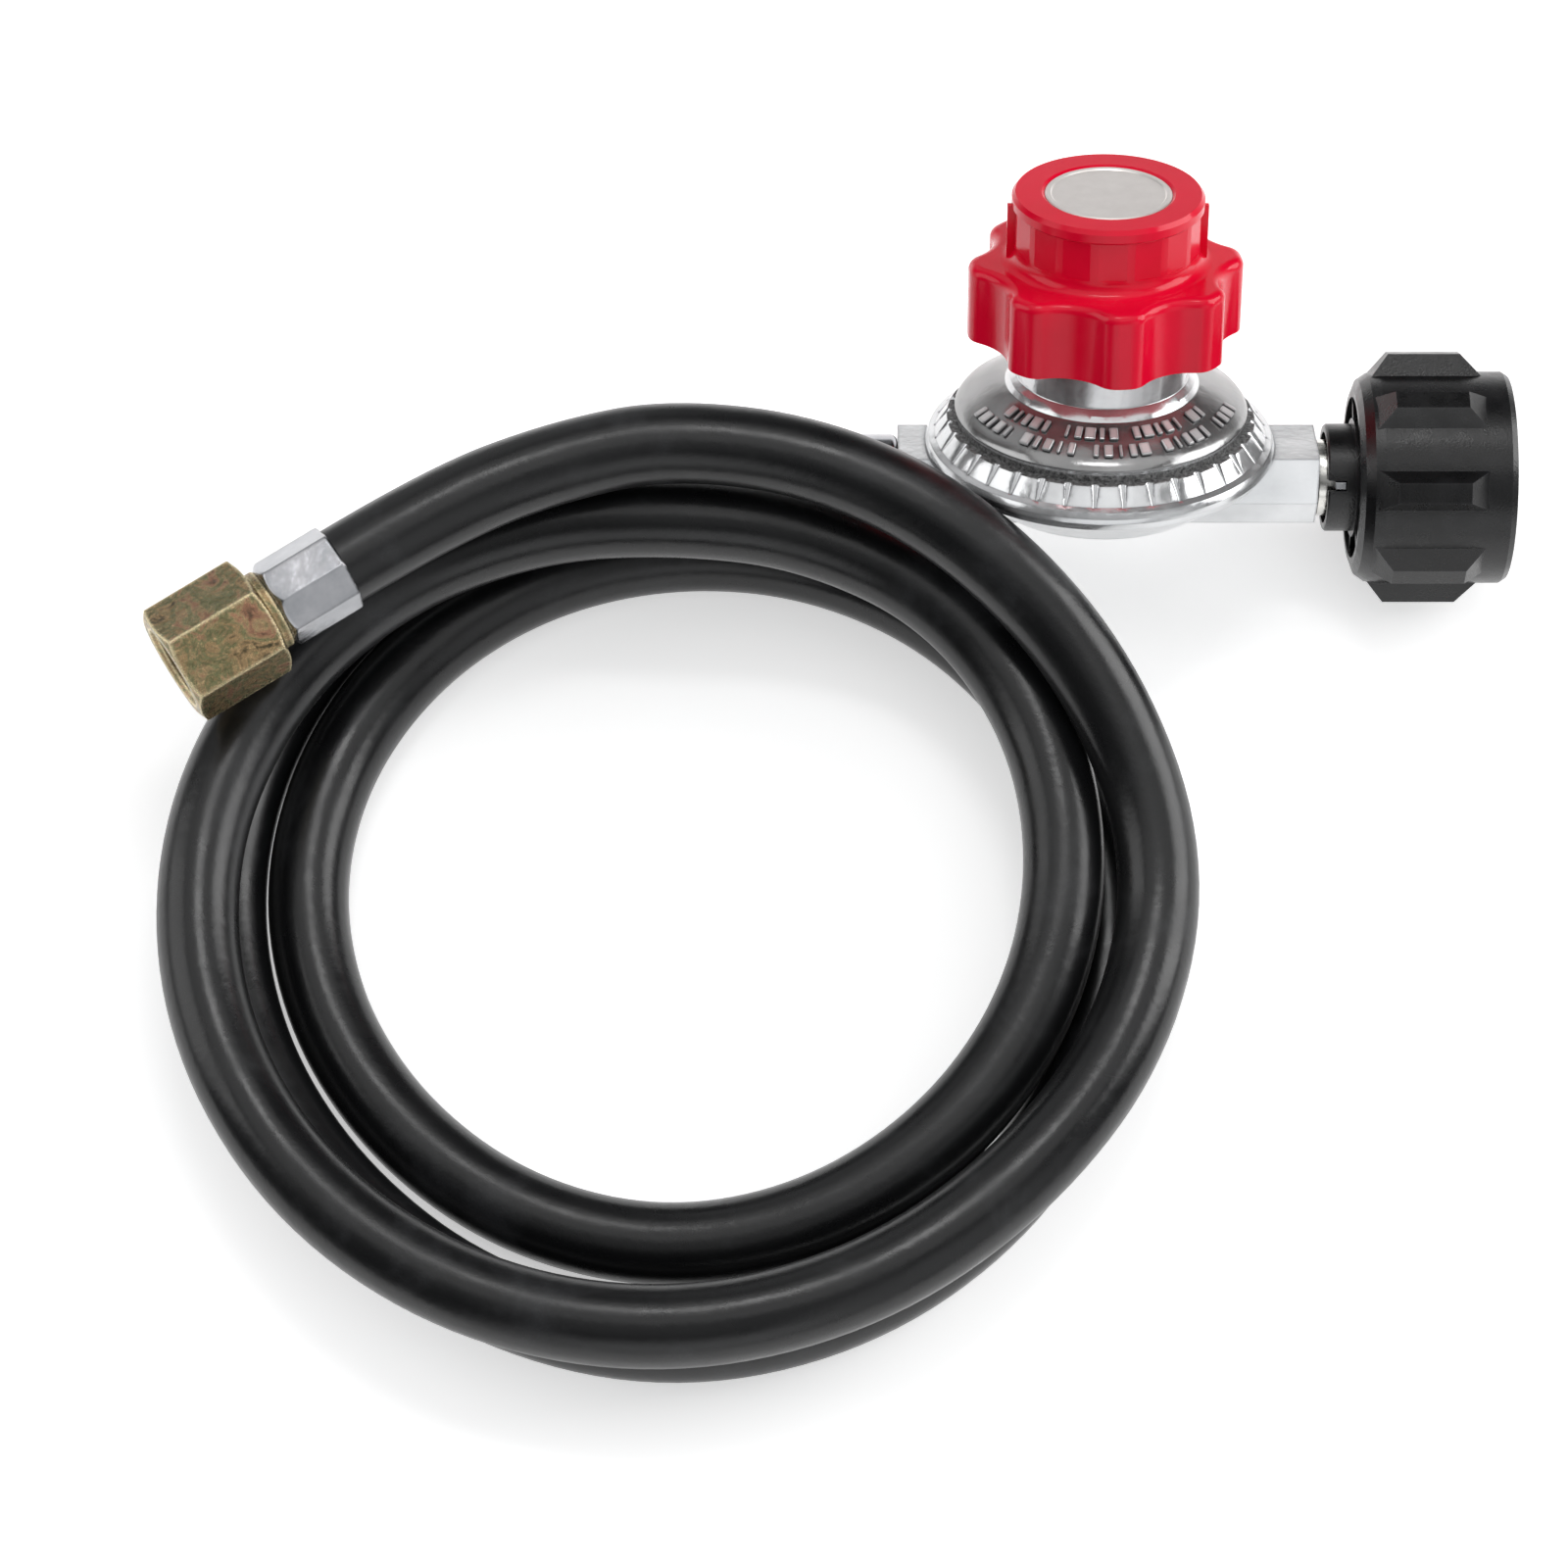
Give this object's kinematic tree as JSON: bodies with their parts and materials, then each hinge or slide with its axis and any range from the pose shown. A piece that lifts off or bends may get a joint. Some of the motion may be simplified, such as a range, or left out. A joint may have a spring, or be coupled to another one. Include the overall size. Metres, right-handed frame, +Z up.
{
  "type": "propane regulator hose",
  "caption": "Low-pressure gas regulator with adjusting knob, hand-tight cylinder nut and a coiled hose that ends in a swivel flare nut.",
  "frame": {"origin": "bottom centre of the regulator's own box, without the hose and what is on it; Z = 0 is the surface it lies on", "axes": "+X along the inlet axis towards the gas cylinder, +Z up, +Y the way the knob leans back"},
  "size_m": [0.253, 0.2243, 0.0815],
  "materials": {
    "zinc_casting": "bright zinc plate over a die casting",
    "steel_mesh": "fine screen",
    "diaphragm_rubber": "matte",
    "plain_steel": "machined",
    "plain_brass": "machined",
    "red_plastic": "glossy moulding",
    "silver_cap": "satin with a bright edge",
    "plated_nipple": "nickel plated",
    "bushing_plastic": "moulded",
    "black_plastic": "fine moulded texture",
    "bright_ferrule": "bright plate",
    "hose_rubber": "soft satin, scuffed",
    "gold_chromate": "yellow chromate with a faint rainbow"
  },
  "bodies": {
    "regulator": {"regulator_body": "zinc_casting", "bonnet": "zinc_casting", "vent_screen": "steel_mesh", "diaphragm": "diaphragm_rubber", "lever_pin": "plain_steel", "orifice": "plain_brass", "main_spring": "plain_steel", "inlet_nipple": "plated_nipple", "nose_seal": "diaphragm_rubber", "thermal_bushing": "bushing_plastic", "poppet_spring": "plain_steel", "poppet_cage": "plain_brass", "outlet_barb": "plain_brass", "outlet_ferrule": "bright_ferrule", "outlet_hose_end": "hose_rubber", "hose_lead": "hose_rubber", "hose_coil": "hose_rubber", "hose_tail": "hose_rubber", "burner_ferrule": "bright_ferrule", "burner_hose_end": "hose_rubber", "flare_stem": "gold_chromate"},
    "diaphragm_group": {"diaphragm_plate": "plain_steel", "diaphragm_stem": "plain_steel"},
    "valve_lever": {"lever": "plain_steel"},
    "valve": {"valve_holder": "plain_brass", "seat_disc": "diaphragm_rubber"},
    "button": {"spring_button": "plain_steel"},
    "knob": {"knob": "red_plastic", "knob_cap": "silver_cap", "adjusting_screw": "plain_steel", "knob_screw": "plain_steel"},
    "poppet": {"flow_poppet": "plain_brass"},
    "hand_nut": {"hand_nut": "black_plastic", "retaining_clip": "plain_steel"},
    "flare_nut": {"flare_nut": "gold_chromate"}
  },
  "joints": [
    {"name": "diaphragm_lift", "type": "slide", "parent": "regulator", "child": "diaphragm_group", "axis": [0, 0.5736, 0.8192], "range_m": [0, 0.002], "stiffness_N_per_m": 400, "springref_m": -0.002, "deforming": ["diaphragm", "main_spring"]},
    {"name": "lever_swing", "type": "hinge", "parent": "regulator", "child": "valve_lever", "pos_m": [-0.0214, -0.00983, 0.02685], "axis": [0, 0.8192, -0.5736], "range_deg": [-9.7, 0]},
    {"name": "valve_slide", "type": "slide", "parent": "regulator", "child": "valve", "axis": [1, 0, 0], "range_m": [0, 0.0007]},
    {"name": "adjuster_travel", "type": "slide", "parent": "regulator", "child": "button", "axis": [0, 0.5736, 0.8192], "range_m": [-0.0068, 0], "deforming": ["main_spring"]},
    {"name": "knob_turn", "type": "hinge", "parent": "button", "child": "knob", "pos_m": [-0.0094, 0.01369, 0.06043], "axis": [0, 0.5736, 0.8192], "range_deg": [-1620, 0]},
    {"name": "poppet_slide", "type": "slide", "parent": "regulator", "child": "poppet", "axis": [1, 0, 0], "range_m": [-0.0026, 0], "stiffness_N_per_m": 60, "springref_m": 0.001, "deforming": ["poppet_spring"]},
    {"name": "hand_nut_spin", "type": "hinge", "parent": "regulator", "child": "hand_nut", "pos_m": [0.0556, -0.01212, 0.02357], "axis": [1, 0, 0], "continuous": true},
    {"name": "flare_nut_spin", "type": "hinge", "parent": "regulator", "child": "flare_nut", "pos_m": [-0.17195, -0.05558, 0.04276], "axis": [-0.8327, -0.5522, -0.0401], "continuous": true}
  ],
  "couplings": [
    {"joint": "lever_swing", "follows": "diaphragm_lift", "rad_per_m": -83.333},
    {"joint": "valve_slide", "follows": "diaphragm_lift", "ratio": 0.3333},
    {"joint": "adjuster_travel", "follows": "knob_turn", "m_per_rad": 0.00023873}
  ]
}
